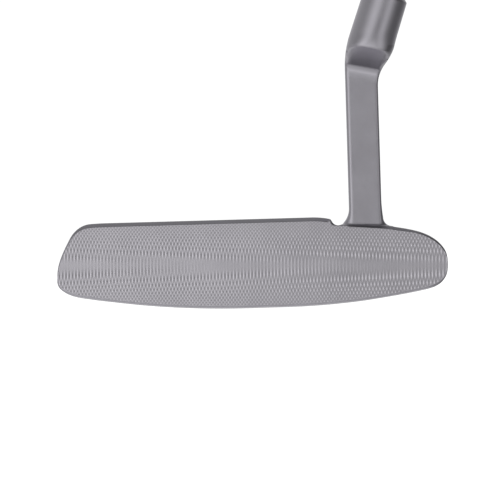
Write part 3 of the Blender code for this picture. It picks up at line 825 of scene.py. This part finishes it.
def ring_mesh(rings):
    """Quads between successive rings of points, the last ring joined to the first."""
    count, sides = len(rings), len(rings[0])
    points = np.concatenate(rings)
    ring, k = np.meshgrid(np.arange(count), np.arange(sides), indexing="ij")
    after, beside = (ring + 1) % count, (k + 1) % sides
    here, ahead = ring * sides, after * sides
    faces = np.stack([here + k, here + beside, ahead + beside, ahead + k], -1)
    return points, faces.reshape(-1, 4)


def turned(name, profile, mat, sides=120):
    angle = 2 * math.pi * np.arange(sides) / sides
    rings = [np.stack([r * np.cos(angle), r * np.sin(angle), np.full(sides, s)], 1) for r, s in profile]
    return mesh_object(name, *ring_mesh(rings), mat, shaft_frame(), sharp=40)


def shaft_profile():
    """Outer (radius, s) points of the stepped shaft from tip to butt, each step a short soft ramp."""
    tip = HOSEL_TOP_S - BORE_DEPTH + GAP
    butt = CLUB_LENGTH - CAP_THICK - 2 * GAP
    outer = [(SHAFT_TIP_R - 0.25, tip), (SHAFT_TIP_R, tip + 0.25)]
    for i in range(SHAFT_STEPS):
        s = STEP_START_S + i * STEP_PITCH
        before = SHAFT_TIP_R + (SHAFT_BUTT_R - SHAFT_TIP_R) * i / SHAFT_STEPS
        after = SHAFT_TIP_R + (SHAFT_BUTT_R - SHAFT_TIP_R) * (i + 1) / SHAFT_STEPS
        for f in (0.0, 0.15, 0.3, 0.5, 0.7, 0.85, 1.0):
            outer.append((before + (after - before) * ease(f), s + STEP_TAPER * f))
    outer.append((SHAFT_BUTT_R, butt))
    filled = [outer[0]]
    for (r0, s0), (r1, s1) in zip(outer, outer[1:]):
        count = max(1, round((s1 - s0) / 8))
        filled += [(r0 + (r1 - r0) * k / count, s0 + (s1 - s0) * k / count) for k in range(1, count + 1)]
    return filled


def make_shaft(mat):
    outer = shaft_profile()
    inner = [(radius - SHAFT_WALL, s) for radius, s in reversed(outer)]
    settle(turned("shaft_tube", outer + inner, mat), "chrome", "shaft")


def make_plug(mat):
    start = HOSEL_TOP_S - BORE_DEPTH + GAP + 1
    radius = SHAFT_TIP_R - SHAFT_WALL - GAP
    end = start + PLUG_LENGTH
    profile = [(0.01, start), (radius - 0.5, start), (radius, start + 0.5)]
    for k in range(4):                                     # ribs that grip the tube
        s = start + 1.2 + k * 1.9
        profile += [(radius, s), (radius - 0.35, s + 0.5), (radius - 0.35, s + 0.9), (radius, s + 1.4)]
    profile += [(radius, end - 0.5), (radius - 0.5, end), (0.01, end)]
    settle(turned("plug", profile, mat, 48), "plug_nylon", "tip_plug")


def grip_size(t):
    for low, high in zip(GRIP_SECTIONS, GRIP_SECTIONS[1:]):
        if t <= high[0]:
            f = (t - low[0]) / (high[0] - low[0])
            return [a + (b - a) * ease(f) for a, b in zip(low[1:], high[1:])]
    return list(GRIP_SECTIONS[-1][1:])


def grip_section(t, angle):
    """Points (x, y) of the grip's section: flat at the front (-x), round at the back (+x)."""
    half_width, front, back = grip_size(t)
    c, s = np.cos(angle), np.sin(angle)
    flat = -front * np.minimum(1.0, 1.45 * np.abs(c) ** 0.8)
    return np.where(c >= 0, back * c, flat), half_width * np.sign(s) * np.abs(s) ** 0.85


def grip_ends():
    return CLUB_LENGTH - GRIP_LENGTH, CLUB_LENGTH - CAP_THICK - GAP


def make_grip(mat):
    """Pistol grip: moulded diamonds pressed into the rubber, smooth lips at both ends."""
    low, high = grip_ends()
    sides = 132
    rows = 400
    angle = 2 * math.pi * (np.arange(sides) + 0.5) / sides
    rings = []
    for k in range(rows + 1):
        t = k / rows
        s = low + (high - low) * t
        x, y = grip_section(t, angle)
        around = angle * 22 / math.pi
        along = (s - low) / 3.0
        weave = np.maximum(np.cos(math.pi * (along + around)), np.cos(math.pi * (along - around)))
        fade = min(1.0, max(0.0, (t - 0.035) * 60)) * min(1.0, max(0.0, (0.955 - t) * 60))
        depth = 0.22 * np.clip(weave, 0, 1) ** 3 * fade
        lip = 0.5 * max(0.0, 1 - (t * rows) / 2) ** 2
        shrink = 1 - (depth + lip) / np.hypot(x, y)
        rings.append(np.stack([x * shrink, y * shrink, np.full(sides, s)], 1))
    mouth = SHAFT_BUTT_R + GAP
    bore = mouth + TAPE_THICK + GAP
    for radius, s in ((bore, high), (bore, low + 5), (mouth, low + 4), (mouth, low)):
        rings.append(np.stack([radius * np.cos(angle), radius * np.sin(angle), np.full(sides, s)], 1))
    rubber = mesh_object("grip_rubber", *ring_mesh(rings), mat, shaft_frame(), sharp=50)
    settle(rubber, "black_rubber", "grip")


def make_cap(mat):
    """Domed cap on the butt, with the vent hole and a shallow ring round it."""
    low = CLUB_LENGTH - CAP_THICK
    sides = 132
    angle = 2 * math.pi * (np.arange(sides) + 0.5) / sides
    rim_x, rim_y = grip_section(1.0, angle)
    circle = np.stack([np.cos(angle), np.sin(angle)], 1)
    rim = np.stack([rim_x, rim_y], 1)
    shape = [(0.955, low), (0.985, low + 0.15), (0.99, low + 0.7), (0.99, low + 1.6), (0.975, low + 2.2),
             (0.94, low + 2.7), (0.89, low + 3.0), (0.8, CLUB_LENGTH - 0.08), (0.7, CLUB_LENGTH)]
    rings = [np.column_stack([rim * scale, np.full(sides, s)]) for scale, s in shape]
    top = CLUB_LENGTH
    for radius, s in ((6.2, top), (5.9, top - 0.4), (5.1, top - 0.4), (4.8, top),
                      (VENT_R + 0.3, top), (VENT_R, top - 0.3), (VENT_R, low)):
        rings.append(np.column_stack([circle * radius, np.full(sides, s)]))
    settle(mesh_object("cap", *ring_mesh(rings), mat, shaft_frame(), sharp=40), "cap_rubber", "grip_cap")


def make_tape(mat):
    """Two-sided tape wound on the butt; each turn overlaps the last a little."""
    low, high = grip_ends()
    inner = SHAFT_BUTT_R + GAP
    start, end = low + 6, high - 4
    flat = inner + TAPE_THICK * 0.8
    turns = 9
    outer = []
    for k in range(turns):
        s0 = start + (end - start) * k / turns
        s1 = start + (end - start) * (k + 1) / turns
        outer += [(inner + TAPE_THICK, s0), (flat, s0 + 1.0), (flat, s1 - 0.1)]
    profile = outer + [(flat, end), (inner, end), (inner, start)]
    settle(turned("tape_winding", profile, mat, 96), "tape", "grip_tape")


# ---- materials ----

# colour of the painted shade that the steel is darkened towards
SHADE_STEEL = (0.10, 0.097, 0.105)


class Nodes:
    """Short way to write a material's node tree."""

    def __init__(self, name):
        self.mat = bpy.data.materials.new(name)
        self.mat.use_nodes = True
        self.tree = self.mat.node_tree
        self.shader = self.tree.nodes["Principled BSDF"]

    def add(self, kind, **settings):
        node = self.tree.nodes.new(kind)
        for key, value in settings.items():
            if key in node.inputs:
                node.inputs[key].default_value = value
            else:
                setattr(node, key, value)
        return node

    def link(self, source, target):
        self.tree.links.new(source, target)

    def coords(self, scale=(1, 1, 1)):
        """Object coordinates; one unit is one metre times the scale."""
        where = self.add("ShaderNodeTexCoord")
        mapping = self.add("ShaderNodeMapping")
        mapping.inputs["Scale"].default_value = scale
        self.link(where.outputs["Object"], mapping.inputs["Vector"])
        return mapping.outputs["Vector"]

    def noise(self, vector, scale, detail=3.0, roughness=0.55):
        node = self.add("ShaderNodeTexNoise", Scale=scale, Detail=detail, Roughness=roughness)
        self.link(vector, node.inputs["Vector"])
        return node.outputs["Fac"]

    def spread(self, value, low, high, out_low, out_high):
        node = self.add("ShaderNodeMapRange")
        numbers = {"From Min": low, "From Max": high, "To Min": out_low, "To Max": out_high}
        for key, number in numbers.items():
            node.inputs[key].default_value = number
        self.link(value, node.inputs["Value"])
        return node.outputs["Result"]

    def blend(self, factor, first, second):
        node = self.add("ShaderNodeMix", data_type="RGBA")
        node.inputs["A"].default_value = (*first, 1)
        node.inputs["B"].default_value = (*second, 1)
        self.link(factor, node.inputs["Factor"])
        return node.outputs["Result"]

    def with_painted_shade(self, bright):
        """The colour darkened towards the painted shade colour by the amount of painted shade stored on the
        mesh's points.
        """
        amount = self.add("ShaderNodeAttribute", attribute_name="painted_shade")
        painted_shade = self.blend(amount.outputs["Fac"], SHADE_STEEL, SHADE_STEEL)
        self.link(bright, painted_shade.node.inputs["A"])
        return painted_shade

    def bump(self, height, strength, distance):
        node = self.add("ShaderNodeBump", Strength=strength, Distance=distance)
        self.link(height, node.inputs["Height"])
        return node.outputs["Normal"]

    def finish(self, colour, roughness, normal, metallic=0):
        for key, source in (("Base Color", colour), ("Roughness", roughness), ("Normal", normal)):
            self.link(source, self.shader.inputs[key])
        self.shader.inputs["Metallic"].default_value = metallic
        return self.mat


def blasted_steel():
    """Satin stainless steel, fine bead-blast grain with slight mottling."""
    m = Nodes("blasted_steel")
    where = m.coords()
    grain = m.noise(where, 5200, 2, 0.6)
    mottle = m.noise(where, 140, 3)
    bright = m.blend(m.spread(mottle, 0.3, 0.7, 0, 1), (0.50, 0.486, 0.53), (0.55, 0.536, 0.582))
    roughness = m.spread(mottle, 0.3, 0.7, 0.31, 0.36)
    # base colour darkened by the painted shade stored on the points
    return m.finish(m.with_painted_shade(bright), roughness, m.bump(grain, 0.35, 0.00004), 1)


def milled_steel():
    """Bright fly-cut steel under the same blast, a touch glossier."""
    m = Nodes("milled_steel")
    where = m.coords()
    grain = m.noise(where, 4200, 2, 0.6)
    mottle = m.noise(where, 90, 3)
    bright = m.blend(m.spread(mottle, 0.3, 0.7, 0, 1), (0.865, 0.84, 0.903), (0.91, 0.884, 0.948))
    roughness = m.spread(mottle, 0.3, 0.7, 0.28, 0.33)
    # base colour darkened by the painted shade stored on the points
    return m.finish(m.with_painted_shade(bright), roughness, m.bump(grain, 0.25, 0.00003), 1)


def turned_steel():
    """Machined weight steel: fine turning marks round the disc's axis."""
    m = Nodes("turned_steel")
    where = m.add("ShaderNodeTexCoord").outputs["Object"]
    rings = m.add("ShaderNodeTexWave", wave_type="RINGS", rings_direction="Z", Scale=900.0, Distortion=0.6)
    m.link(where, rings.inputs["Vector"])
    mottle = m.noise(where, 400, 3)
    colour = m.blend(mottle, (0.56, 0.55, 0.56), (0.63, 0.62, 0.63))
    roughness = m.spread(mottle, 0.3, 0.7, 0.24, 0.32)
    return m.finish(colour, roughness, m.bump(rings.outputs["Fac"], 0.3, 0.00002), 1)


def chrome():
    m = Nodes("chrome_plate")
    where = m.coords((1, 1, 0.05))
    drawn = m.noise(where, 3000, 3)
    haze = m.noise(m.coords(), 30, 2)
    colour = m.blend(haze, (0.74, 0.75, 0.77), (0.80, 0.80, 0.82))
    return m.finish(colour, m.spread(haze, 0.3, 0.7, 0.06, 0.12), m.bump(drawn, 0.1, 0.00001), 1)


def plain_stuff(name, dark, light, rough_low, rough_high, grain, depth):
    """Non-metal with mottled colour, uneven gloss and a fine grain."""
    m = Nodes(name)
    where = m.coords()
    mottle = m.noise(where, grain / 12, 4)
    fine = m.noise(where, grain, 3)
    colour = m.blend(m.spread(mottle, 0.3, 0.7, 0, 1), dark, light)
    return m.finish(colour, m.spread(mottle, 0.3, 0.7, rough_low, rough_high), m.bump(fine, 0.5, depth))


# ---- camera, light, floor ----

VIEW_WIDTH = 500 / 3.25              # mm across the picture at the face
VIEW_CENTRE = (-4.88, 18.0)
CAMERA_DISTANCE = 3000.0
ROLL = math.radians(1.7)


def make_camera():
    data = bpy.data.cameras.new("camera")
    data.sensor_width = 36
    data.lens = 36 * CAMERA_DISTANCE / VIEW_WIDTH
    data.clip_end = 120
    cam = bpy.data.objects.new("camera", data)
    right = Vector((math.cos(ROLL), 0, -math.sin(ROLL)))
    up = Vector((math.sin(ROLL), 0, math.cos(ROLL)))
    back = Vector((0, -1, 0))
    place = Vector((VIEW_CENTRE[0], face_y(VIEW_CENTRE[1]) - CAMERA_DISTANCE, VIEW_CENTRE[1])) * MM
    rotation = Matrix((right, up, back)).transposed()
    cam.matrix_world = Matrix.Translation(place) @ rotation.to_4x4()
    bpy.context.scene.collection.objects.link(cam)
    bpy.context.scene.camera = cam


# light from around, as soft lobes: (azimuth from the camera, elevation, sharpness, strength)
LOBES = (
    (-34, 4, 30, 0.72),
    (34, -4, 30, 0.63),
    (-17, 0, 40, 0.63),
    (17, 0, 40, 0.04),
    (-55, 5, 20, 0.31),
    (55, -5, 20, 0.17),
    (0, 22, 20, 0.52),
    (0, -18, 60, 0.85),
    (0, -40, 30, 0.22),
    (-30, -30, 12, 0.92),
    (30, -30, 12, 0.60),
    (-30, 30, 12, 0.33),
    (-90, 10, 4, 0.32),
    (90, -10, 4, 0.14),
    (-90, -50, 4, 0.39),
    (-90, 55, 4, 0.07),
    (90, 55, 4, 0.04),
    (180, 15, 3, 0.54),
    (180, -40, 3, 0.51),
    (0, -90, 6, 0.50),
    (0, 90, 6, 0.28),
    (-135, 10, 4, 0.20),
)
WHITE = 1.05                         # what the camera itself sees behind the club


def make_world():
    """White surroundings for the eye; for reflections, soft lobes of light in the dark."""
    world = bpy.data.worlds.new("studio")
    bpy.context.scene.world = world
    world.use_nodes = True
    tree = world.node_tree
    nodes, links = tree.nodes, tree.links
    background = nodes["Background"]
    where = nodes.new("ShaderNodeTexCoord")

    def maths(operation, source, number):
        node = nodes.new("ShaderNodeMath")
        node.operation = operation
        node.inputs[1].default_value = number
        links.new(source, node.inputs[0])
        return node

    total = None
    for azimuth, elevation, sharpness, strength in LOBES:
        a, e = math.radians(azimuth), math.radians(elevation)
        dot = nodes.new("ShaderNodeVectorMath")
        dot.operation = "DOT_PRODUCT"
        dot.inputs[1].default_value = (math.sin(a) * math.cos(e), -math.cos(a) * math.cos(e), math.sin(e))
        links.new(where.outputs["Generated"], dot.inputs[0])
        front = maths("MAXIMUM", dot.outputs["Value"], 0)
        power = maths("POWER", front.outputs["Value"], sharpness)
        add = maths("MULTIPLY_ADD", power.outputs["Value"], strength)
        add.inputs[2].default_value = 0
        if total is not None:
            links.new(total, add.inputs[2])
        total = add.outputs["Value"]
    path = nodes.new("ShaderNodeLightPath")
    white = nodes.new("ShaderNodeMix")
    white.data_type = "FLOAT"
    links.new(path.outputs["Is Camera Ray"], white.inputs["Factor"])
    links.new(total, white.inputs["A"])
    white.inputs["B"].default_value = WHITE
    background.inputs["Color"].default_value = (1, 1, 1, 1)
    links.new(white.outputs["Result"], background.inputs["Strength"])


def make_floor():
    mat = bpy.data.materials.new("pale_floor")
    mat.use_nodes = True
    shader = mat.node_tree.nodes["Principled BSDF"]
    shader.inputs["Base Color"].default_value = (0.9, 0.9, 0.9, 1)
    shader.inputs["Roughness"].default_value = 0.9
    shader.inputs["Emission Color"].default_value = (1, 1, 1, 1)
    shader.inputs["Emission Strength"].default_value = 0.92
    bm = bmesh.new()
    bmesh.ops.create_grid(bm, x_segments=2, y_segments=2, size=30)
    mesh = bpy.data.meshes.new("floor")
    bm.to_mesh(mesh)
    bm.free()
    floor = bpy.data.objects.new("floor", mesh)
    floor.location = (0, 0, -0.0002)
    mesh.materials.append(mat)
    bpy.context.scene.collection.objects.link(floor)
    floor.visible_glossy = False


make_camera()
make_world()
make_floor()
bpy.context.scene.view_settings.view_transform = "Standard"

steel = blasted_steel()
make_head_and_neck(steel)
make_face(milled_steel())
make_weights(turned_steel())
make_sight_line(plain_stuff("sight_enamel", (0.012, 0.012, 0.014), (0.025, 0.025, 0.027),
                            0.25, 0.4, 3000, 0.00002))
make_shaft(chrome())
make_plug(plain_stuff("natural_nylon", (0.68, 0.66, 0.58), (0.78, 0.76, 0.69),
                      0.45, 0.6, 1500, 0.00003))
make_tape(plain_stuff("paper_tape", (0.68, 0.61, 0.44), (0.80, 0.74, 0.58),
                      0.75, 0.9, 1800, 0.00004))
make_grip(plain_stuff("grip_compound", (0.018, 0.018, 0.019), (0.034, 0.034, 0.036),
                      0.6, 0.75, 2600, 0.00005))
make_cap(plain_stuff("cap_compound", (0.026, 0.026, 0.028), (0.04, 0.04, 0.042),
                     0.45, 0.6, 2600, 0.00003))
